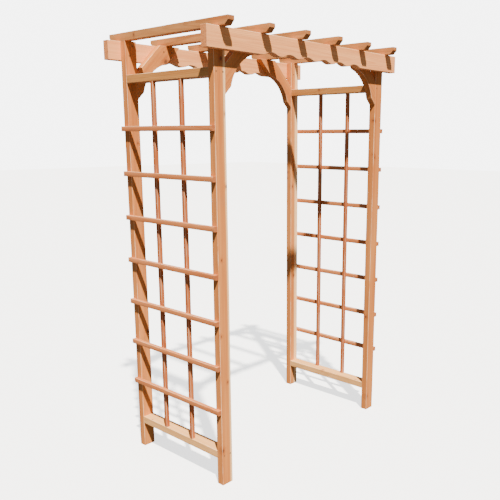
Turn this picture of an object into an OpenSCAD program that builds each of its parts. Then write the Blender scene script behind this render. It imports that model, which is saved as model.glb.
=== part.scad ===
// Cedar garden arbor: two lattice side panels, two scalloped beams, a row of roof slats
// and four curved knee braces. Left is -X, front is -Y, +Z is up. The origin lies on
// the ground at the middle of the footprint. All sizes are in millimetres.

/* [Overall] */
// Width over the outer faces of the left and right posts
span_w = 1262; // [1000:1:1700]
// Depth over the outer faces of the front and rear posts
frame_d = 667; // [500:1:1000]
// Height from the ground to the top of the posts and beams
post_h = 2100; // [1700:1:2600]

/* [Posts] */
// Post size across the opening
post_w = 64; // [50:1:110]
// Post size along the walkway
post_t = 38; // [30:1:60]

/* [Beams] */
// Beam thickness
beam_t = 38; // [30:1:60]
// Beam depth, top to bottom
beam_h = 89; // [75:1:160]
// How far each beam end passes the outer face of the posts
beam_overhang = 69; // [20:1:160]
// Spacing of the scallops along the lower edge
scallop_pitch = 126; // [90:1:200]
// Depth of the scallops
scallop_depth = 14; // [6:1:24]

/* [Roof slats] */
// Number of slats
slat_count = 6; // [3:1:9]
// Slat width
slat_w = 38; // [25:1:60]
// Slat thickness
slat_t = 38; // [25:1:60]
// How far each slat end passes the outer face of the beams
slat_overhang = 52; // [20:1:120]
// Length and height of the clip under each slat end
slat_clip = 20; // [6:1:24]

/* [Side panels] */
// Thickness of the rails that join a front post to a rear post
rail_t = 38; // [25:1:60]
// Height of the bottom rail's underside above the ground
rail_low = 134; // [60:1:300]
// Distance from the top of the posts down to the top rail's upper face
rail_drop = 157; // [100:1:300]
// Thickness of the lattice bars and uprights
bar_s = 19; // [12:1:30]
// Height of the horizontal lattice bars
bar_h = 24; // [12:1:40]
// Number of horizontal lattice bars
bar_count = 7; // [4:1:9]
// Bottom rail's upper face to the centre of the lowest bar
bar_first = 207; // [120:1:260]
// Top rail's underside to the centre of the highest bar
bar_last = 215; // [120:1:260]
// Spacing of the two uprights, centre to centre
upright_gap = 204; // [120:1:280]

/* [Knee braces] */
// Width of the board that a brace is cut from
brace_w = 89; // [80:1:140]
// How far a brace reaches down the post, from the top of the beams
brace_reach = 268; // [220:1:320]
// Length of the straight edge left beside each end of the arc
brace_toe = 50; // [40:1:80]
// Depth of the arc cut into the board
brace_arc = 30; // [15:1:38]
// Chord of the arc, from nose to nose
brace_chord = 204; // [150:1:230]

/* [Hidden] */
$fn = 96;

// Faces of the frame that the other parts line up with
half_w = span_w / 2;
half_d = frame_d / 2;
inner_w = half_w - post_w;
beam_len = span_w + 2 * beam_overhang;
beam_low = post_h - beam_h;
slat_len = frame_d + 2 * (beam_t + slat_overhang);
slat_pitch = (span_w - slat_w) / (slat_count - 1);
rail_len = frame_d - 2 * post_t;
rail_high = post_h - rail_drop - rail_t;
panel_low = rail_low + rail_t;
bar_pitch = (rail_high - panel_low - bar_first - bar_last) / (bar_count - 1);

// The arc of a brace, in the plane of the brace: x away from the post, y up, from the
// corner where the inner face of the post meets the top of the beams
arc_r = (pow(brace_chord / 2, 2) + pow(brace_arc, 2)) / (2 * brace_arc);
arc_mid = (brace_toe + brace_chord / 2) / sqrt(2);
arc_out = (arc_r - brace_arc) / sqrt(2);
brace_back = brace_reach - brace_w * sqrt(2);
brace_nose = (brace_toe + brace_chord) / sqrt(2);

// The scallops fill the length between the upper noses of the braces
scallop_count = floor(2 * (inner_w - brace_nose) / scallop_pitch);
scallop_r = (pow(scallop_pitch / 4, 2) + pow(scallop_depth / 2, 2)) / scallop_depth;
scallop_run = scallop_count * scallop_pitch;

// Wood tones
post_tone = [0.87, 0.67, 0.51];
beam_tone = [0.90, 0.71, 0.55];
rail_tone = [0.80, 0.63, 0.42];
slat_tone = [0.80, 0.60, 0.44];
lattice_tone = [0.78, 0.50, 0.36];

// Mirrors a front or left part to the rear or the right side
module place(right = false, rear = false) {
    mirror([right ? 1 : 0, 0, 0]) mirror([0, rear ? 1 : 0, 0]) children();
}

module post(right, rear) {
    color(post_tone)
        place(right, rear)
            translate([-half_w, -half_d, 0]) cube([post_w, post_t, post_h]);
}

// One full wave: a scallop cut up into the edge, with half a rounded lobe on each side
module scallop_wave() {
    quarter = scallop_pitch / 4;
    difference() {
        translate([-quarter, 0]) square([2 * quarter, scallop_depth]);
        translate([0, scallop_depth - scallop_r]) circle(r = scallop_r);
    }
    for (side = [-1, 1])
        intersection() {
            translate([side > 0 ? quarter : -2 * quarter, 0]) square([quarter, scallop_depth]);
            translate([side * 2 * quarter, scallop_r]) circle(r = scallop_r);
        }
}

module beam_outline() {
    translate([-beam_len / 2, scallop_depth]) square([beam_len, beam_h - scallop_depth]);
    for (side = [-1, 1])
        translate([side > 0 ? scallop_run / 2 : -beam_len / 2, 0])
            square([(beam_len - scallop_run) / 2, scallop_depth]);
    for (i = [0 : scallop_count - 1])
        translate([(i - (scallop_count - 1) / 2) * scallop_pitch, 0]) scallop_wave();
}

module beam(rear) {
    color(beam_tone)
        place(false, rear)
            translate([0, -half_d, beam_low])
                rotate([90, 0, 0]) linear_extrude(beam_t) beam_outline();
}

module slat_outline() {
    half = slat_len / 2;
    polygon([
        [-half + slat_clip, 0], [half - slat_clip, 0], [half, slat_clip],
        [half, slat_t], [-half, slat_t], [-half, slat_clip]
    ]);
}

module slat(number) {
    x = -half_w + (number - 1) * slat_pitch;
    color(slat_tone)
        translate([x, 0, post_h])
            rotate([90, 0, 90]) linear_extrude(slat_w) slat_outline();
}

module rail(right, z) {
    color(rail_tone)
        place(right)
            translate([-half_w, -rail_len / 2, z]) cube([post_w, rail_len, rail_t]);
}

// Two uprights between the rails, with the bars across their outer faces and the
// outer faces of the posts
module lattice(right) {
    color(lattice_tone)
        place(right) {
            for (side = [-1, 1])
                translate([-half_w, side * upright_gap / 2 - bar_s / 2, panel_low])
                    cube([bar_s, bar_s, rail_high - panel_low]);
            for (i = [0 : bar_count - 1])
                translate([
                    -half_w - bar_s, -half_d,
                    panel_low + bar_first + i * bar_pitch - bar_h / 2
                ])
                    cube([bar_s, frame_d, bar_h]);
        }
}

// A board at 45 degrees, cut plumb against the post and level with the beams' top
module brace_outline() {
    difference() {
        polygon([[0, -brace_back], [brace_back, 0], [brace_reach, 0], [0, -brace_reach]]);
        translate([arc_mid + arc_out, arc_mid - brace_reach - arc_out]) circle(r = arc_r);
    }
}

module brace(right, rear) {
    color(post_tone)
        place(right, rear)
            translate([-inner_w, -half_d + post_t, post_h])
                rotate([90, 0, 0]) linear_extrude(post_t) brace_outline();
}

post(false, false);  // post_front_left
post(true, false);  // post_front_right
post(false, true);  // post_rear_left
post(true, true);  // post_rear_right
beam(false);  // beam_front
beam(true);  // beam_rear
for (i = [1 : slat_count])
    slat(i);
rail(false, rail_high);  // rail_top_left
rail(true, rail_high);  // rail_top_right
rail(false, rail_low);  // rail_bottom_left
rail(true, rail_low);  // rail_bottom_right
lattice(false);  // lattice_left
lattice(true);  // lattice_right
brace(false, false);  // brace_front_left
brace(true, false);  // brace_front_right
brace(false, true);  // brace_rear_left
brace(true, true);  // brace_rear_right
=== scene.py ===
import math
import random

import bmesh
import bpy
from mathutils import Matrix, Vector, noise


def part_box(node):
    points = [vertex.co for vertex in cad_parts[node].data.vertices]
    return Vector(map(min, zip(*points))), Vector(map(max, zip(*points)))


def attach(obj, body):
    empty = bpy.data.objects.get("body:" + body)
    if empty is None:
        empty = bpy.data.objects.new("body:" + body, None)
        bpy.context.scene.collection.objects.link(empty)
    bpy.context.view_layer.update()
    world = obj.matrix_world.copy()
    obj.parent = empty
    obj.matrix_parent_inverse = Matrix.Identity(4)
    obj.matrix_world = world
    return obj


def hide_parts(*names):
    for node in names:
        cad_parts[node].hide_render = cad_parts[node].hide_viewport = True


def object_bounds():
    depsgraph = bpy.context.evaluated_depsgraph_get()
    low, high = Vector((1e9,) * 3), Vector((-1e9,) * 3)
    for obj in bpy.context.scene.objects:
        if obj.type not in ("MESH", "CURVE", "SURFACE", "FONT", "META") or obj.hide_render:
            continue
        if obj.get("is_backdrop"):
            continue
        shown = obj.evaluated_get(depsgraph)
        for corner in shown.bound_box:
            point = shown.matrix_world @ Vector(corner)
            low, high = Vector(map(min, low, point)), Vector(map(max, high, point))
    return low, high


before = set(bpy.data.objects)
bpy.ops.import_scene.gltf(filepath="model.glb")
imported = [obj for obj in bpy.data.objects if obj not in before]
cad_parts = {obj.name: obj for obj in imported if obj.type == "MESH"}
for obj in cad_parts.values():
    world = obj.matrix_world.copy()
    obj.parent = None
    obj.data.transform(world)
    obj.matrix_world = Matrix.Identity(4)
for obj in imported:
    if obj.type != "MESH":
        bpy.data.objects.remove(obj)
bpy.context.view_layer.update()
print("frame loaded with", len(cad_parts), "nodes")


# ---- helpers for node trees ----

def put(tree, kind, inputs=(), **settings):  # adds one node; a value may be a socket or a plain value
    node = tree.nodes.new(kind)
    for key, value in settings.items():
        setattr(node, key, value)
    for key, value in dict(inputs).items():
        if isinstance(value, bpy.types.NodeSocket):
            tree.links.new(value, node.inputs[key])
        else:
            node.inputs[key].default_value = value
    return node


def sums(tree, operation, a, b=0.0, clamp=False):
    return put(tree, "ShaderNodeMath", {0: a, 1: b}, operation=operation, use_clamp=clamp).outputs[0]


def steps(tree, value, low, high, toLow=0.0, toHigh=1.0):  # a smooth step between two values
    node = put(tree, "ShaderNodeMapRange", {0: value, 1: low, 2: high, 3: toLow, 4: toHigh})
    node.interpolation_type = "SMOOTHSTEP"
    return node.outputs[0]


def vectors(tree, operation, a, b=(0, 0, 0)):
    node = put(tree, "ShaderNodeVectorMath", {0: a, 1: b}, operation=operation)
    return node.outputs["Value" if operation in ("LENGTH", "DOT_PRODUCT") else "Vector"]


def blend(tree, factor, a, b, mode="MIX"):
    return put(tree, "ShaderNodeMix", {0: factor, 6: a, 7: b}, data_type="RGBA", blend_type=mode).outputs[2]


def speckle(tree, vector, scale, detail=2.0, rough=0.5):
    node = put(tree, "ShaderNodeTexNoise", {"Vector": vector, "Scale": scale, "Detail": detail})
    node.inputs["Roughness"].default_value = rough
    return node.outputs[0]


def newGroup(name, takes, gives):  # a shader node group with named sockets
    group = bpy.data.node_groups.new(name, "ShaderNodeTree")
    for label, kind, value in takes:
        socket = group.interface.new_socket(label, in_out="INPUT", socket_type="NodeSocket" + kind)
        if value is not None:
            socket.default_value = value
    for label, kind in gives:
        group.interface.new_socket(label, in_out="OUTPUT", socket_type="NodeSocket" + kind)
    return group, put(group, "NodeGroupInput").outputs, put(group, "NodeGroupOutput").inputs


# ---- cedar ----

def makeRings():  # year rings of the log round its pith, cut by whichever face shows
    group, take, give = newGroup(
        "cedarRings",
        [("Place", "Vector", None), ("Lean", "Vector", (0, 0.02, 0.01)),
         ("Ring Width", "Float", 0.004), ("Push", "Float", 0.0)],
        [("Rings", "Float"), ("Fibre", "Float"), ("Streak", "Float")])
    along = put(group, "ShaderNodeSeparateXYZ", {0: take["Place"]}).outputs[0]
    leaning = put(group, "ShaderNodeVectorMath", {0: take["Lean"], "Scale": along}, operation="SCALE")
    bent = vectors(group, "ADD", take["Place"], leaning.outputs["Vector"])
    wobble = speckle(group, vectors(group, "MULTIPLY", bent, (1.3, 9, 9)), 1.0)
    across = vectors(group, "LENGTH", vectors(group, "MULTIPLY", bent, (0, 1, 1)))
    radius = sums(group, "ADD", across, sums(group, "MULTIPLY", wobble, 0.03))
    radius = sums(group, "ADD", radius, take["Push"])
    turn = sums(group, "DIVIDE", radius, take["Ring Width"])
    part = sums(group, "FRACT", turn)
    dark = sums(group, "MULTIPLY", steps(group, part, 0.35, 0.88), steps(group, part, 1.0, 0.93))
    year = put(group, "ShaderNodeTexWhiteNoise", {"W": sums(group, "FLOOR", turn)}, noise_dimensions="1D")
    strength = sums(group, "MULTIPLY_ADD", year.outputs[0], 0.6)
    strength.node.inputs[2].default_value = 0.4
    group.links.new(sums(group, "MULTIPLY", dark, strength), give["Rings"])
    for mask, stretch in (("Fibre", (9, 900, 900)), ("Streak", (1.6, 75, 75))):
        group.links.new(speckle(group, vectors(group, "MULTIPLY", bent, stretch), 1.0, 3.0), give[mask])
    return group


def makeKnot():  # one small knot that opens on a face of the board
    group, take, give = newGroup(
        "cedarKnot",
        [("Place", "Vector", None), ("Centre", "Vector", (0, 0, 0)),
         ("Axes", "Vector", (0.7, 1, 0.5)), ("Radius", "Float", 0.006)],
        [("Heart", "Float"), ("Halo", "Float")])
    gap = vectors(group, "SUBTRACT", take["Place"], take["Centre"])
    ragged = put(group, "ShaderNodeTexNoise", {"Vector": gap, "Scale": 160.0, "Detail": 2.0}).outputs[0]
    reach = vectors(group, "LENGTH", vectors(group, "MULTIPLY", gap, take["Axes"]))
    reach = sums(group, "DIVIDE", reach, take["Radius"])
    reach = sums(group, "ADD", reach, sums(group, "MULTIPLY", sums(group, "SUBTRACT", ragged, 0.5), 0.9))
    group.links.new(steps(group, reach, 1.2, 0.5), give["Heart"])
    group.links.new(steps(group, reach, 3.6, 0.8), give["Halo"])
    return group


def makeCedar():  # every colour effect of one dressed board, from masks and the board's own tones
    group, take, give = newGroup(
        "cedarFinish",
        [("Place", "Vector", None),
         ("Early", "Color", (0.6, 0.35, 0.2, 1)), ("Late", "Color", (0.4, 0.2, 0.1, 1)),
         ("Sap", "Color", (0.85, 0.65, 0.42, 1)), ("Sap Mask", "Float", 0.0), ("Rings", "Float", 0.0),
         ("Fibre", "Float", 0.5), ("Streak", "Float", 0.5), ("Heart", "Float", 0.0), ("Halo", "Float", 0.0),
         ("End", "Float", 0.0), ("Arris", "Float", 0.0)],
        [("Color", "Color"), ("Roughness", "Float"), ("Height", "Float")])
    place = take["Place"]
    cloud = speckle(group, vectors(group, "MULTIPLY", place, (1.8, 14, 14)), 1.0, 3.0)
    streak = steps(group, take["Streak"], 0.36, 0.66)
    late = sums(group, "MULTIPLY", take["Rings"], 0.42)
    late = sums(group, "ADD", late, sums(group, "MULTIPLY", streak, 0.34))
    late = sums(group, "ADD", late, steps(group, cloud, 0.35, 0.7, 0.0, 0.34))
    colour = blend(group, sums(group, "MINIMUM", late, 1.0), take["Early"], take["Late"])
    fibre = steps(group, take["Fibre"], 0.3, 0.72, 0.82, 1.12)
    shade = put(group, "ShaderNodeCombineXYZ", {0: fibre, 1: fibre, 2: fibre}).outputs[0]
    colour = blend(group, 0.55, colour, shade, "MULTIPLY")
    sap = sums(group, "MULTIPLY", take["Sap Mask"], 0.85)
    colour = blend(group, sap, colour, take["Sap"])
    halo = sums(group, "MULTIPLY", take["Halo"], 0.4)
    colour = blend(group, halo, colour, (0.5, 0.2, 0.07, 1), "MULTIPLY")
    colour = blend(group, sums(group, "MULTIPLY", take["Heart"], 0.85), colour, (0.13, 0.04, 0.015, 1))
    # sawn ends are darker and show checks that run out from the pith
    cracks = put(group, "ShaderNodeTexWave", {"Vector": place, "Scale": 90.0, "Distortion": 5.0,
                                              "Detail": 2.0}, bands_direction="DIAGONAL").outputs[1]
    check = steps(group, cracks, 0.06, 0.0, 0.0, 0.7)
    sawn = blend(group, 0.5, colour, (0.6, 0.4, 0.25, 1), "MULTIPLY")
    sawn = blend(group, check, sawn, (0.12, 0.05, 0.02, 1))
    colour = blend(group, take["End"], colour, sawn)
    # planed arrises are painted paler in patches: partly rubbed wear, partly a painted highlight where the
    # eased edges catch the light
    arrisSheenPatches = steps(group, speckle(group, vectors(group, "MULTIPLY", place, (12, 60, 60)), 1.0, 3.0), 0.3, 0.6)
    arrisSheenAndWear = sums(group, "MULTIPLY", sums(group, "MULTIPLY", take["Arris"], arrisSheenPatches), 0.5)
    colour = blend(group, arrisSheenAndWear, colour, (0.9, 0.68, 0.45, 1))
    grime = speckle(group, place, 5.0, 4.0, 0.6)
    colour = blend(group, steps(group, grime, 0.55, 0.8, 0.0, 0.16), colour, (0.3, 0.2, 0.13, 1))
    group.links.new(colour, give["Color"])
    rough = sums(group, "ADD", 0.6, sums(group, "MULTIPLY", take["Fibre"], 0.22))
    rough = sums(group, "ADD", rough, sums(group, "MULTIPLY", take["End"], 0.15))
    rough = sums(group, "SUBTRACT", rough, sums(group, "MULTIPLY", take["Rings"], 0.08))
    group.links.new(rough, give["Roughness"])
    height = sums(group, "MULTIPLY", take["Fibre"], 0.5)
    height = sums(group, "ADD", height, sums(group, "MULTIPLY", take["Rings"], 0.5))
    cut = sums(group, "MULTIPLY", sums(group, "MULTIPLY", check, take["End"]), 1.5)
    height = sums(group, "SUBTRACT", height, cut)
    height = sums(group, "SUBTRACT", height, sums(group, "MULTIPLY", take["Heart"], 0.4))
    group.links.new(height, give["Height"])
    return group


cedarRings, cedarKnot, cedarFinish = makeRings(), makeKnot(), makeCedar()

cedarTones = {  # early wood, late wood
    "post": ((0.66, 0.245, 0.06, 1), (0.45, 0.12, 0.021, 1)),
    "beam": ((0.88, 0.38, 0.14, 1), (0.7, 0.24, 0.072, 1)),
    "rail": ((0.6, 0.27, 0.072, 1), (0.4, 0.135, 0.025, 1)),
    "slat": ((0.6, 0.255, 0.078, 1), (0.4, 0.128, 0.03, 1)),
    "lowRail": ((0.85, 0.44, 0.16, 1), (0.62, 0.28, 0.075, 1)),
    "crossbar": ((0.64, 0.225, 0.07, 1), (0.44, 0.11, 0.027, 1)),
    # uprights: darker than the crossbars of the same stock, a painted shade
    "upright": ((0.5, 0.145, 0.038, 1), (0.32, 0.064, 0.013, 1)),
    "sap": (0.95, 0.6, 0.29, 1),
}


def cedarMaterial(name, tone, seed, knots=(), sapFrom=None, ringWidth=0.004, oneBoard=True):
    material = bpy.data.materials.new(name)
    material.use_nodes = True
    tree = material.node_tree
    surface = tree.nodes["Principled BSDF"]
    chance = random.Random(seed)
    early, late = cedarTones[tone]
    tint = chance.uniform(0.93, 1.07)
    early = tuple(min(1.0, c * tint) for c in early[:3]) + (1,)
    place = put(tree, "ShaderNodeAttribute", attribute_name="boardPlace").outputs["Vector"]
    pith = (chance.uniform(0, 9), chance.choice((-1, 1)) * chance.uniform(0.05, 0.11),
            chance.uniform(-0.04, 0.04))  # where the middle of the log lies beside the board
    inLog = vectors(tree, "ADD", place, pith)
    if not oneBoard:  # many sticks in one piece, each from its own place in the log
        own = put(tree, "ShaderNodeAttribute", attribute_name="stickLog").outputs["Vector"]
        inLog = vectors(tree, "ADD", inLog, own)
    heart, halo = 0.0, 0.0
    for along, across, through, radius in knots:
        knot = put(tree, "ShaderNodeGroup", node_tree=cedarKnot)
        tree.links.new(place, knot.inputs["Place"])
        knot.inputs["Centre"].default_value = (along, across, through)
        knot.inputs["Radius"].default_value = radius
        heart = sums(tree, "MAXIMUM", heart, knot.outputs["Heart"])
        halo = sums(tree, "MAXIMUM", halo, knot.outputs["Halo"])
    rings = put(tree, "ShaderNodeGroup", node_tree=cedarRings)
    tree.links.new(inLog, rings.inputs["Place"])
    rings.inputs["Lean"].default_value = (0, chance.uniform(-0.012, 0.012), chance.uniform(-0.01, 0.01))
    rings.inputs["Ring Width"].default_value = ringWidth
    finish = put(tree, "ShaderNodeGroup", node_tree=cedarFinish)
    tree.links.new(inLog, finish.inputs["Place"])
    finish.inputs["Early"].default_value = early
    finish.inputs["Late"].default_value = late
    finish.inputs["Sap"].default_value = cedarTones["sap"]
    if knots:
        push = sums(tree, "MULTIPLY", halo, 0.012)
        tree.links.new(push, rings.inputs["Push"])
        tree.links.new(heart, finish.inputs["Heart"])
        tree.links.new(halo, finish.inputs["Halo"])
    for mask in ("Rings", "Fibre", "Streak"):
        tree.links.new(rings.outputs[mask], finish.inputs[mask])
    for mask, attribute in (("End", "endGrain"), ("Arris", "arris")):
        drawn = put(tree, "ShaderNodeAttribute", attribute_name=attribute)
        tree.links.new(drawn.outputs["Fac"], finish.inputs[mask])
    if sapFrom is not None:  # pale sapwood beyond this place across the board
        start, stop = sapFrom
        across = put(tree, "ShaderNodeSeparateXYZ", {0: place}).outputs[1]
        waver = sums(tree, "MULTIPLY", sums(tree, "SUBTRACT", rings.outputs["Streak"], 0.5), 0.012)
        tree.links.new(steps(tree, sums(tree, "ADD", across, waver), start, stop), finish.inputs["Sap Mask"])
    bump = put(tree, "ShaderNodeBump", {"Height": finish.outputs["Height"], "Strength": 0.35,
                                        "Distance": 0.0008})
    tree.links.new(finish.outputs["Color"], surface.inputs["Base Color"])
    tree.links.new(finish.outputs["Roughness"], surface.inputs["Roughness"])
    tree.links.new(bump.outputs[0], surface.inputs["Normal"])
    surface.inputs["Specular IOR Level"].default_value = 0.3
    return material


# ---- boards ----

boardShape = {
    "easedArris": 0.0018,  # radius along the grain
    "easeSteps": 3,
    "sawnArris": 0.0006,  # small break where a saw cut meets the faces
    "cutEvery": 0.055,  # spacing of the cross cuts that let a board wander
    "wander": 0.0006,
    "wanderSeed": 5,  # zero would start the wander from the clock
    "wanderPace": 2.5,  # turns of the wander in a metre
    "endSlope": 0.6,  # a face this square to the grain is a sawn end
    "cornerAngle": 0.3,  # a sharper edge than this is a corner, and a gentler one is part of a curve
    "curveAngle": 0.02,
    "softAngle": 0.7,  # a sharper edge than this is never shaded smooth
}
noise.seed_set(boardShape["wanderSeed"])


def shapeBoard(piece, node, grain, across, material, seed):
    grain, across = Vector(grain).normalized(), Vector(across).normalized()
    through = grain.cross(across)
    low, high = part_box(node)
    centre = (low + high) / 2
    shape = bmesh.new()
    shape.from_mesh(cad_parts[node].data)
    bmesh.ops.remove_doubles(shape, verts=shape.verts, dist=1e-5)
    bmesh.ops.dissolve_limit(shape, angle_limit=math.radians(1), verts=shape.verts, edges=shape.edges)
    arris = shape.faces.layers.float.new("arris")
    corner, curve = boardShape["cornerAngle"], boardShape["curveAngle"]

    def isEnd(face):
        return abs(face.normal.dot(grain)) > boardShape["endSlope"]

    corners = [e for e in shape.edges if len(e.link_faces) == 2 and e.calc_face_angle() > corner]
    long = [e for e in corners if not any(isEnd(f) for f in e.link_faces)]
    eased = bmesh.ops.bevel(shape, geom=long, offset=boardShape["easedArris"], offset_type="OFFSET",
                            segments=boardShape["easeSteps"], profile=0.5, affect="EDGES", clamp_overlap=True)
    # eased arris faces take the painted highlight and rubbed wear of the finish
    for face in eased["faces"]:
        face[arris] = 1.0
    shape.normal_update()
    sawn = [e for e in shape.edges if len(e.link_faces) == 2 and e.calc_face_angle() > corner
            and sum(isEnd(f) for f in e.link_faces) == 1]
    broken = bmesh.ops.bevel(shape, geom=sawn, offset=boardShape["sawnArris"], offset_type="OFFSET",
                             segments=1, profile=0.5, affect="EDGES", clamp_overlap=True)
    # sawn arris breaks take a weaker share of the same painted highlight and wear
    for face in broken["faces"]:
        face[arris] = 0.7
    shape.normal_update()
    spans = [(v.co - centre).dot(grain) for v in shape.verts]
    cuts = max(1, round((max(spans) - min(spans)) / boardShape["cutEvery"]))
    for i in range(1, cuts):
        at = centre + grain * (min(spans) + (max(spans) - min(spans)) * i / cuts)
        bmesh.ops.bisect_plane(shape, geom=shape.verts[:] + shape.edges[:] + shape.faces[:],
                               dist=1e-6, plane_co=at, plane_no=grain)
    shape.normal_update()
    for face in shape.faces:
        curved = any(curve < e.calc_face_angle(0) < corner for e in face.edges if len(e.link_faces) == 2)
        face.smooth = face[arris] == 1.0 or curved
    for edge in shape.edges:
        if len(edge.link_faces) == 2:
            alike = edge.link_faces[0][arris] == edge.link_faces[1][arris]
            edge.smooth = alike and edge.calc_face_angle() < boardShape["softAngle"]
    places = [v.co - centre for v in shape.verts]
    ends = [1.0 if isEnd(f) else 0.0 for f in shape.faces]
    for vert, place in zip(shape.verts, places):  # a slow wander of the whole section along the board
        turn = noise.noise_vector(Vector((place.dot(grain) * boardShape["wanderPace"], seed * 3.7, 1.3)))
        vert.co += (across * turn.x + through * turn.y) * boardShape["wander"]
    mesh = bpy.data.meshes.new(piece)
    shape.to_mesh(mesh)
    shape.free()
    own = mesh.attributes.new("boardPlace", "FLOAT_VECTOR", "POINT")
    own.data.foreach_set("vector", [p.dot(way) for p in places for way in (grain, across, through)])
    mesh.attributes.new("endGrain", "FLOAT", "FACE").data.foreach_set("value", ends)
    mesh.materials.append(material)
    board = bpy.data.objects.new(piece, mesh)
    bpy.context.scene.collection.objects.link(board)
    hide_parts(node)
    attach(board, "root")


sides = {"left": -1, "right": 1}
rows = {"front": -1, "rear": 1}
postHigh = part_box("post_front_left")[1].z
postKnots = {  # height above the ground, place across the face towards the front, radius
    "front_left": [(1.978, 0.008, 0.007), (1.75, 0.028, 0.005), (1.438, 0.026, 0.005), (1.11, -0.012, 0.004),
                   (0.753, -0.024, 0.004), (0.521, 0.012, 0.004), (0.181, -0.026, 0.007)],
    "front_right": [(1.745, -0.026, 0.005), (1.559, -0.028, 0.004), (1.543, -0.018, 0.005),
                    (0.085, -0.026, 0.006)],
    "rear_left": [(1.62, 0.016, 0.004), (0.64, 0.02, 0.005)],
    "rear_right": [(1.346, -0.019, 0.006), (0.759, -0.002, 0.006)],
}
postSap = {"front_left": (0.014, 0.026), "rear_right": (-0.004, 0.01)}  # where the pale sapwood starts
braceKnots = {  # along the brace from its middle, across it, radius
    "front_left": [(-0.06, 0.005, 0.008)],
    "front_right": [(0.04, 0.012, 0.005)],
    "rear_left": [(0.07, 0.012, 0.01), (0.02, -0.012, 0.006)],
    "rear_right": [(-0.01, 0.02, 0.006)],
}
knotField = {  # how many small knots on one board, and the length, width and depth that they fall in
    "post": (6, postHigh, 0.064),  # its depth is measured
    "beam": (4, 1.4, 0.089, 0.038),
    "slat": (2, 0.84, 0.038, 0.038),
    "rail": (2, 0.59, 0.064, 0.038),
}
ringWidths = {"brace": 0.005, "beam": 0.0045, "slat": 0.0035, "stick": 0.0032}


def smallKnots(seed, count, run, width, depth):  # a few knots scattered over all four long faces
    chance = random.Random(seed)
    knots = []
    for _ in range(count):
        along = chance.uniform(-0.45, 0.45) * run
        if chance.random() < width / (width + depth):
            across, through = chance.uniform(-0.4, 0.4) * width, chance.choice((-0.5, 0.5)) * depth
        else:
            across, through = chance.choice((-0.5, 0.5)) * width, chance.uniform(-0.4, 0.4) * depth
        knots.append((along, across, through, chance.uniform(0.0025, 0.005)))
    return knots


seed = 11
for row in rows:
    for side, sign in sides.items():
        corner = row + "_" + side
        title = row + side.capitalize()
        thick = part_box("post_" + corner)[1].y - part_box("post_" + corner)[0].y
        knots = [(height - postHigh / 2, across, -thick / 2, radius)
                 for height, across, radius in postKnots[corner]]
        knots += [k for k in smallKnots(seed, *knotField["post"], thick) if k[2] > -thick / 2]
        material = cedarMaterial(title + "PostCedar", "post", seed, knots, postSap.get(corner))
        shapeBoard(title + "Post", "post_" + corner, (0, 0, 1), (1, 0, 0), material, seed)
        knots = [(along, across, -sign * thick / 2, radius) for along, across, radius in braceKnots[corner]]
        material = cedarMaterial(title + "BraceCedar", "post", seed + 1, knots, None, ringWidths["brace"])
        shapeBoard(title + "Brace", "brace_" + corner, (-sign, 0, 1), (sign, 0, 1), material,
                   seed + 1)
        seed += 2
print("posts and braces made")

for row in rows:
    knots = smallKnots(seed, *knotField["beam"])
    material = cedarMaterial(row + "BeamCedar", "beam", seed, knots, None, ringWidths["beam"])
    shapeBoard(row + "Beam", "beam_" + row, (1, 0, 0), (0, 0, 1), material, seed)
    seed += 1
slatNames = sorted(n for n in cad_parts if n.startswith("slat_"))
for name in slatNames:
    knots = smallKnots(seed, *knotField["slat"])
    number = name.split("_")[1]
    material = cedarMaterial("slatCedar" + number, "slat", seed, knots, None, ringWidths["slat"])
    shapeBoard("roofSlat" + number, name, (0, 1, 0), (1, 0, 0), material, seed)
    seed += 1
for level in ("top", "bottom"):
    for side in sides:
        knots = smallKnots(seed, *knotField["rail"])
        title = level + side.capitalize() + "Rail"
        tone = "rail" if level == "top" else "lowRail"
        material = cedarMaterial(title + "Cedar", tone, seed, knots)
        shapeBoard(title, "rail_%s_%s" % (level, side), (0, 1, 0), (1, 0, 0), material, seed)
        seed += 1
print("beams, slats and rails made")


# ---- geometry node helpers ----

def newTree(name, takes):  # Spots comes first, as the carrier's own mesh, and a tree may leave it unused
    tree = bpy.data.node_groups.new(name, "GeometryNodeTree")
    tree.interface.new_socket("Geometry", in_out="OUTPUT", socket_type="NodeSocketGeometry")
    tree.interface.new_socket("Spots", in_out="INPUT", socket_type="NodeSocketGeometry")
    keys = {}
    for label, kind in takes:
        socket = tree.interface.new_socket(label, in_out="INPUT", socket_type="NodeSocket" + kind)
        keys[label] = socket.identifier
    return tree, keys, put(tree, "NodeGroupInput").outputs, put(tree, "NodeGroupOutput").inputs


def grow(name, tree, keys, values, base=None):  # runs a tree once and keeps the result as a plain mesh
    carrier = bpy.data.objects.new(name + "Carrier", base or bpy.data.meshes.new(name + "Seed"))
    bpy.context.scene.collection.objects.link(carrier)
    modifier = carrier.modifiers.new("grow", "NODES")
    modifier.node_group = tree
    for label, value in values.items():
        modifier[keys[label]] = value
    carrier.update_tag()
    bpy.context.view_layer.update()
    made = carrier.evaluated_get(bpy.context.evaluated_depsgraph_get())
    mesh = bpy.data.meshes.new_from_object(made)
    mesh.name = name
    finish = mesh.materials[-1]  # the only one in use; realized instances add an empty slot before it
    mesh.materials.clear()
    mesh.materials.append(finish)
    carrier.modifiers.clear()
    bpy.data.objects.remove(carrier)
    return mesh


# ---- lattice ----

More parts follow.
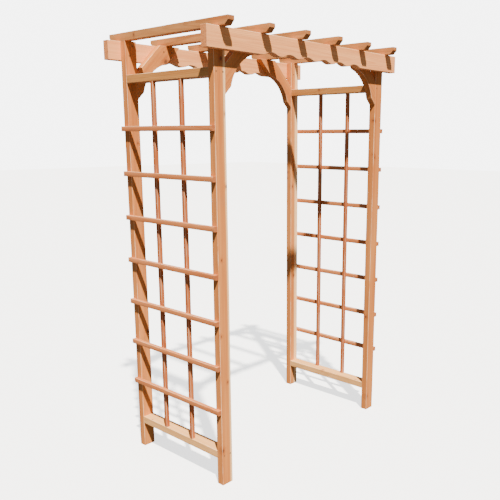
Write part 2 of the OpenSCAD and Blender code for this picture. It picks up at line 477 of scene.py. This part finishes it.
def makeStickRow():  # equal sticks, eased along the grain, at an even spacing
    tree, keys, take, give = newTree("stickRow", [
        ("Length", "Float"), ("Width", "Float"), ("Height", "Float"), ("Ease", "Float"), ("Count", "Int"),
        ("Spacing", "Vector"), ("First", "Vector"), ("Turn", "Vector"), ("Bow", "Float"), ("Seed", "Int"),
        ("Cedar", "Material")])
    square = put(tree, "GeometryNodeCurvePrimitiveQuadrilateral", {0: take["Width"], 1: take["Height"]})
    eased = put(tree, "GeometryNodeFilletCurve", {"Curve": square.outputs[0], "Radius": take["Ease"]})
    eased.inputs["Limit Radius"].default_value = True
    eased.mode = "POLY"
    eased.inputs["Count"].default_value = 3
    half = put(tree, "ShaderNodeMath", {0: take["Length"], 1: 0.5}, operation="MULTIPLY").outputs[0]
    back = put(tree, "ShaderNodeMath", {0: half, 1: -1.0}, operation="MULTIPLY").outputs[0]
    start = put(tree, "ShaderNodeCombineXYZ", {0: back}).outputs[0]
    stop = put(tree, "ShaderNodeCombineXYZ", {0: half}).outputs[0]
    run = put(tree, "GeometryNodeCurvePrimitiveLine", {"Start": start, "End": stop})
    run = put(tree, "GeometryNodeResampleCurve", {"Curve": run.outputs[0], "Count": 24})
    stick = put(tree, "GeometryNodeCurveToMesh", {"Curve": run.outputs[0], "Profile Curve": eased.outputs[0]})
    stick.inputs["Fill Caps"].default_value = True
    spot = put(tree, "GeometryNodeInputPosition").outputs[0]
    stick = put(tree, "GeometryNodeStoreNamedAttribute", {"Geometry": stick.outputs[0], "Name": "boardPlace",
                "Value": spot}, data_type="FLOAT_VECTOR", domain="POINT")
    facing = put(tree, "ShaderNodeSeparateXYZ", {0: put(tree, "GeometryNodeInputNormal").outputs[0]}).outputs
    square = put(tree, "ShaderNodeMath", {0: facing[0]}, operation="ABSOLUTE").outputs[0]
    sawn = put(tree, "FunctionNodeCompare", {0: square, 1: 0.7}, operation="GREATER_THAN")
    stick = put(tree, "GeometryNodeStoreNamedAttribute", {"Geometry": stick.outputs[0], "Name": "endGrain",
                "Value": sawn.outputs[0]}, data_type="FLOAT", domain="FACE")
    # the sticks' rounded corners take the painted highlight and rubbed wear of the finish
    slant = put(tree, "ShaderNodeMath", {0: facing[1], 1: facing[2]}, operation="MULTIPLY").outputs[0]
    slant = put(tree, "ShaderNodeMath", {0: slant}, operation="ABSOLUTE").outputs[0]
    slanted = put(tree, "FunctionNodeCompare", {0: slant, 1: 0.05}, operation="GREATER_THAN")
    stick = put(tree, "GeometryNodeStoreNamedAttribute", {"Geometry": stick.outputs[0], "Name": "arris",
                "Value": slanted.outputs[0]}, data_type="FLOAT", domain="FACE")
    line = put(tree, "GeometryNodeMeshLine", {"Count": take["Count"], "Start Location": take["First"],
               "Offset": take["Spacing"]})
    turned = put(tree, "FunctionNodeEulerToRotation", {0: take["Turn"]}).outputs[0]
    sticks = put(tree, "GeometryNodeInstanceOnPoints", {
        "Points": line.outputs[0], "Instance": stick.outputs[0], "Rotation": turned})
    own = put(tree, "FunctionNodeRandomValue", {
        0: (-9, -0.03, -0.03), 1: (9, 0.03, 0.03), "Seed": take["Seed"]}, data_type="FLOAT_VECTOR")
    sticks = put(tree, "GeometryNodeStoreNamedAttribute", {"Geometry": sticks.outputs[0], "Name": "stickLog",
                 "Value": own.outputs[0]}, data_type="FLOAT_VECTOR", domain="INSTANCE")
    loose = put(tree, "GeometryNodeRealizeInstances", {"Geometry": sticks.outputs[0]})
    log, local = (put(tree, "GeometryNodeInputNamedAttribute", {"Name": attribute},
                      data_type="FLOAT_VECTOR").outputs[0] for attribute in ("stickLog", "boardPlace"))
    seat = put(tree, "ShaderNodeVectorMath", {0: local, 1: (1.6, 0, 0)}, operation="MULTIPLY").outputs[0]
    seat = put(tree, "ShaderNodeVectorMath", {0: seat, 1: log}, operation="ADD").outputs[0]
    drift = put(tree, "ShaderNodeTexNoise", {"Vector": seat, "Scale": 1.0, "Detail": 0.0})
    drift = put(tree, "ShaderNodeVectorMath", {0: drift.outputs[1], 1: (0.5, 0.5, 0.5)}, operation="SUBTRACT")
    drift = put(tree, "ShaderNodeVectorMath", {0: drift.outputs[0], "Scale": take["Bow"]}, operation="SCALE")
    moved = put(tree, "GeometryNodeSetPosition", {"Geometry": loose.outputs[0], "Offset": drift.outputs[0]})
    last = put(tree, "GeometryNodeSetMaterial", {"Geometry": moved.outputs[0], "Material": take["Cedar"]})
    tree.links.new(last.outputs[0], give[0])
    return tree, keys


lattice = {
    "barCount": 7,
    "barHeight": 0.024,
    "lowestBar": 0.207,  # centre above the bottom rail
    "highestBar": 0.215,  # centre below the top rail
    "uprights": 2,
    "uprightGap": 0.204,
    "ease": 0.0014,
    "bow": 0.0022,
    "uprightBow": 0.7,  # of a crossbar's, as the rails hold both ends
    "barPlay": 0.0004,  # how much shorter a bar is than its box
    "uprightPlay": 0.001,
}
stickTree, stickKeys = makeStickRow()
crossbarCedar = cedarMaterial("crossbarCedar", "crossbar", 71, (), None, ringWidths["stick"], oneBoard=False)
# the uprights' darker tone is painted shade
shadedUprightCedar = cedarMaterial("shadedUprightCedar", "upright", 72, (), None, ringWidths["stick"], oneBoard=False)
barHeights = []
for side, sign in sides.items():
    node = "lattice_" + side
    low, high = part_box(node)
    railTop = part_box("rail_bottom_" + side)[1].z
    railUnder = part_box("rail_top_" + side)[0].z
    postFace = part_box("post_front_" + side)[0 if sign < 0 else 1].x  # the bars lie on this face
    section = abs((low if sign < 0 else high).x - postFace)
    lowest, highest = railTop + lattice["lowestBar"], railUnder - lattice["highestBar"]
    pitch = (highest - lowest) / (lattice["barCount"] - 1)
    barHeights = [lowest + pitch * i for i in range(lattice["barCount"])]
    bars = grow(side + "Bars", stickTree, stickKeys, {
        "Length": high.y - low.y - lattice["barPlay"], "Width": section, "Height": lattice["barHeight"],
        "Ease": lattice["ease"], "Count": lattice["barCount"], "Spacing": (0, 0, pitch),
        "First": (postFace + sign * section / 2, (low.y + high.y) / 2, lowest),
        "Turn": (0, 0, math.pi / 2), "Bow": lattice["bow"], "Seed": 5 + sign, "Cedar": crossbarCedar})
    uprights = grow(side + "Uprights", stickTree, stickKeys, {
        "Length": railUnder - railTop - lattice["uprightPlay"], "Width": section, "Height": section,
        "Ease": lattice["ease"], "Count": lattice["uprights"], "Spacing": (0, lattice["uprightGap"], 0),
        "First": (postFace - sign * section / 2, -lattice["uprightGap"] / 2, (railTop + railUnder) / 2),
        "Turn": (0, -math.pi / 2, 0), "Bow": lattice["bow"] * lattice["uprightBow"], "Seed": 15 + sign,
        "Cedar": shadedUprightCedar})
    for title, mesh in ((side + "Crossbars", bars), (side + "Uprights", uprights)):
        piece = bpy.data.objects.new(title, mesh)
        bpy.context.scene.collection.objects.link(piece)
        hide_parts(node)
        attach(piece, "root")
print("lattices made")


# ---- screws and nails ----

def makeFixings():  # flat heads with a cross recess, or plain nail heads
    tree, keys, take, give = newTree("fixings", [
        ("Radius", "Float"), ("Thickness", "Float"), ("Cross", "Bool"), ("Steel", "Material")])
    radius = take["Radius"]
    upper = put(tree, "ShaderNodeMath", {0: radius, 1: 0.9}, operation="MULTIPLY").outputs[0]
    lip = put(tree, "GeometryNodeMeshCone", {"Vertices": 20, "Radius Top": upper, "Radius Bottom": radius,
              "Depth": take["Thickness"]})
    long = put(tree, "ShaderNodeMath", {0: radius, 1: 1.15}, operation="MULTIPLY").outputs[0]
    thin = put(tree, "ShaderNodeMath", {0: radius, 1: 0.28}, operation="MULTIPLY").outputs[0]
    barX = put(tree, "GeometryNodeMeshCube", {"Size": put(tree, "ShaderNodeCombineXYZ",
               {0: long, 1: thin, 2: take["Thickness"]}).outputs[0]})
    barY = put(tree, "GeometryNodeMeshCube", {"Size": put(tree, "ShaderNodeCombineXYZ",
               {0: thin, 1: long, 2: take["Thickness"]}).outputs[0]})
    lift = put(tree, "ShaderNodeCombineXYZ", {2: take["Thickness"]}).outputs[0]
    driven = lip
    for bar in (barX, barY):
        cutter = put(tree, "GeometryNodeTransform", {"Geometry": bar.outputs[0], "Translation": lift})
        driven = put(tree, "GeometryNodeMeshBoolean", {
            "Mesh 1": driven.outputs[0], "Mesh 2": cutter.outputs[0]}, operation="DIFFERENCE", solver="EXACT")
    head = put(tree, "GeometryNodeSwitch", {"Switch": take["Cross"], "False": lip.outputs[0],
               "True": driven.outputs[0]}, input_type="GEOMETRY")
    facing = put(tree, "GeometryNodeInputNamedAttribute", {"Name": "facing"}, data_type="FLOAT_VECTOR")
    aim = put(tree, "FunctionNodeAlignRotationToVector", {"Vector": facing.outputs[0]}, axis="Z").outputs[0]
    spin = put(tree, "FunctionNodeRandomValue", {2: 0.0, 3: 1.5, "Seed": 3}).outputs[1]
    spin = put(tree, "ShaderNodeCombineXYZ", {2: spin}).outputs[0]
    spun = put(tree, "FunctionNodeEulerToRotation", {0: spin})
    turned = put(tree, "FunctionNodeRotateRotation", {0: aim, 1: spun.outputs[0]}, rotation_space="LOCAL")
    heads = put(tree, "GeometryNodeInstanceOnPoints", {"Points": take["Spots"], "Instance": head.outputs[0],
                "Rotation": turned.outputs[0]})
    loose = put(tree, "GeometryNodeRealizeInstances", {"Geometry": heads.outputs[0]})
    last = put(tree, "GeometryNodeSetMaterial", {"Geometry": loose.outputs[0], "Material": take["Steel"]})
    tree.links.new(last.outputs[0], give[0])
    return tree, keys


def fixingSteel(name, light, dark, metal):
    material = bpy.data.materials.new(name)
    material.use_nodes = True
    tree = material.node_tree
    surface = tree.nodes["Principled BSDF"]
    spot = put(tree, "ShaderNodeTexCoord").outputs["Object"]
    coat = speckle(tree, spot, 420.0, 4.0, 0.6)
    tree.links.new(blend(tree, steps(tree, coat, 0.35, 0.65), light, dark), surface.inputs["Base Color"])
    tree.links.new(steps(tree, coat, 0.3, 0.7, 0.5, 0.75), surface.inputs["Roughness"])
    bump = put(tree, "ShaderNodeBump", {"Height": coat, "Strength": 0.3, "Distance": 0.0002})
    tree.links.new(bump.outputs[0], surface.inputs["Normal"])
    surface.inputs["Metallic"].default_value = metal
    return material


fixingTree, fixingKeys = makeFixings()
fixing = {
    "screw": {"radius": 0.0042, "thickness": 0.0012, "proud": 0.0003, "cross": True,
              "steel": fixingSteel("deckScrewSteel", (0.13, 0.075, 0.04, 1), (0.06, 0.032, 0.018, 1), 0.15)},
    "nail": {"radius": 0.0019, "thickness": 0.0009, "proud": 0.0003, "cross": False,
             "steel": fixingSteel("nailSteel", (0.2, 0.16, 0.13, 1), (0.1, 0.075, 0.06, 1), 0.3)},
}


def setFixings(name, kind, spots):  # spots are pairs of a point on the wood and the way its head faces
    size = fixing[kind]
    depth = size["thickness"] - size["proud"]
    points = bpy.data.meshes.new(name + "Spots")
    points.from_pydata([tuple(Vector(p) - Vector(n) * depth) for p, n in spots], [], [])
    facing = points.attributes.new("facing", "FLOAT_VECTOR", "POINT")
    facing.data.foreach_set("vector", [c for _, n in spots for c in n])
    mesh = grow(name, fixingTree, fixingKeys, {"Radius": size["radius"], "Thickness": size["thickness"],
                                               "Cross": size["cross"], "Steel": size["steel"]}, points)
    piece = bpy.data.objects.new(name, mesh)
    bpy.context.scene.collection.objects.link(piece)
    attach(piece, "root")


screwPlan = {
    "railGap": 0.038,  # between the two screws that hold a rail
    "beamInset": 0.022,  # of a beam's screws from its top and bottom edges
    "beamStagger": 0.01,  # of the same two to either side of the post's middle
    "bracePlaces": ((0.165, 0.03), (0.215, 0.03)),  # from the post, and down from the top
    "toeInset": 0.016,  # of the screw at a brace's foot, from the post and from its tip
}
railScrews, beamScrews, slatScrews, braceScrews, barNails = [], [], [], [], []
for side, sign in sides.items():
    for row, way in rows.items():
        low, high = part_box("post_%s_%s" % (row, side))
        middle = (low.x + high.x) / 2
        outer = low.y if way < 0 else high.y
        inner = high.y if way < 0 else low.y
        for level in ("top", "bottom"):
            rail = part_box("rail_%s_%s" % (level, side))
            height = (rail[0].z + rail[1].z) / 2
            railScrews += [((middle + k * screwPlan["railGap"] / 2, outer, height), (0, way, 0))
                           for k in (-1, 1)]
        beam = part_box("beam_" + row)
        for height, k in ((beam[0].z + screwPlan["beamInset"], -1), (beam[1].z - screwPlan["beamInset"], 1)):
            beamScrews.append(((middle + k * screwPlan["beamStagger"], inner, height), (0, -way, 0)))
        postFace = low.x if sign < 0 else high.x
        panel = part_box("lattice_" + side)
        barFace = postFace + sign * (panel[1].x - panel[0].x) / 2
        barNails += [((barFace, (low.y + high.y) / 2, z), (sign, 0, 0)) for z in barHeights]
        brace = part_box("brace_%s_%s" % (row, side))
        braceBack = brace[1].y if way < 0 else brace[0].y
        nearPost = brace[0].x if sign < 0 else brace[1].x
        for inward, down in screwPlan["bracePlaces"]:
            braceScrews.append(((nearPost - sign * inward, braceBack, brace[1].z - down), (0, -way, 0)))
        inset = screwPlan["toeInset"]
        toe = (nearPost - sign * inset, (brace[0].y + brace[1].y) / 2, brace[0].z + inset)
        braceScrews.append((toe, (-sign * math.sqrt(0.5), 0, -math.sqrt(0.5))))
for name in slatNames:
    low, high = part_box(name)
    for row in rows:
        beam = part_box("beam_" + row)
        slatScrews.append((((low.x + high.x) / 2, (beam[0].y + beam[1].y) / 2, high.z), (0, 0, 1)))
for title, kind, spots in (("railScrews", "screw", railScrews), ("beamScrews", "screw", beamScrews),
                           ("braceScrews", "screw", braceScrews), ("slatScrews", "screw", slatScrews),
                           ("latticeNails", "nail", barNails)):
    setFixings(title, kind, spots)
print("screws and nails set")


# ---- floor, light and camera ----

studio = {
    "floorSize": 60.0,
    "floorPale": (0.93, 0.93, 0.92, 1),
    "floorGlow": 1.9,
    "floorBounce": (0.06, 0.06, 0.06, 1),  # what the floor gives back to the wood
    "skyShown": 6.0,  # a brighter one eats into the edges of thin bars
    "skyFill": 0.3,
    "fillColour": (0.8, 0.9, 1.0, 1),
    "sunWay": (0.35, 0.54, -1.0),
    "sunStrength": 14.0,
    "sunAngle": 1.6,
    "sunColour": (1.0, 0.95, 0.87),
}
bpy.ops.mesh.primitive_plane_add(size=studio["floorSize"])
floor = bpy.context.object
floor.name = "paleFloor"
floorLook = bpy.data.materials.new("paleFloor")
floorLook.use_nodes = True
tree = floorLook.node_tree
surface = tree.nodes["Principled BSDF"]
surface.inputs["Roughness"].default_value = 0.9
surface.inputs["Emission Color"].default_value = (1, 1, 1, 1)
seen = put(tree, "ShaderNodeLightPath").outputs["Is Camera Ray"]
glow = sums(tree, "MULTIPLY", seen, studio["floorGlow"])  # pale to the eye, without lighting the wood
tree.links.new(glow, surface.inputs["Emission Strength"])
tree.links.new(blend(tree, seen, studio["floorBounce"], studio["floorPale"]), surface.inputs["Base Color"])
floor.data.materials.append(floorLook)
floor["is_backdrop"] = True

world = bpy.data.worlds.new("studio")
bpy.context.scene.world = world
world.use_nodes = True
tree = world.node_tree
tree.nodes.clear()
fill = put(tree, "ShaderNodeBackground", {"Color": studio["fillColour"], "Strength": studio["skyFill"]})
shown = put(tree, "ShaderNodeBackground", {"Color": (1, 1, 1, 1), "Strength": studio["skyShown"]})
seen = put(tree, "ShaderNodeLightPath").outputs["Is Camera Ray"]
both = put(tree, "ShaderNodeMixShader", {0: seen, 1: fill.outputs[0], 2: shown.outputs[0]})
put(tree, "ShaderNodeOutputWorld", {0: both.outputs[0]})

sun = bpy.data.lights.new("sun", "SUN")
sun.energy = studio["sunStrength"]
sun.angle = math.radians(studio["sunAngle"])
sun.color = studio["sunColour"]
sunObject = bpy.data.objects.new("sun", sun)
sunObject.rotation_euler = Vector(studio["sunWay"]).to_track_quat("-Z", "Y").to_euler()
bpy.context.scene.collection.objects.link(sunObject)

cameraPlan = {
    "place": (-2.5299, -2.4552, 1.6502),
    "azimuth": 49.04,  # from the walkway's line towards the right panel
    "pitch": 12.54,  # downwards
    "roll": 0.29,
    "lens": 46.2,
    "sensor": 36.0,
    "shift": (-0.0957, 0.0613),
}
az, pitch, roll = (math.radians(cameraPlan[k]) for k in ("azimuth", "pitch", "roll"))
ahead = Vector((math.sin(az) * math.cos(pitch), math.cos(az) * math.cos(pitch), -math.sin(pitch)))
level = Vector((math.cos(az), -math.sin(az), 0))
above = level.cross(ahead)
right = level * math.cos(roll) + above * math.sin(roll)
up = above * math.cos(roll) - level * math.sin(roll)
lens = bpy.data.cameras.new("camera")
lens.lens = cameraPlan["lens"]
lens.sensor_width = cameraPlan["sensor"]
lens.shift_x, lens.shift_y = cameraPlan["shift"]
camera = bpy.data.objects.new("camera", lens)
aim = Matrix((right, up, -ahead)).transposed().to_4x4()
camera.matrix_world = Matrix.Translation(cameraPlan["place"]) @ aim
bpy.context.scene.collection.objects.link(camera)
bpy.context.scene.camera = camera
print("stage set")

low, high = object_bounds()
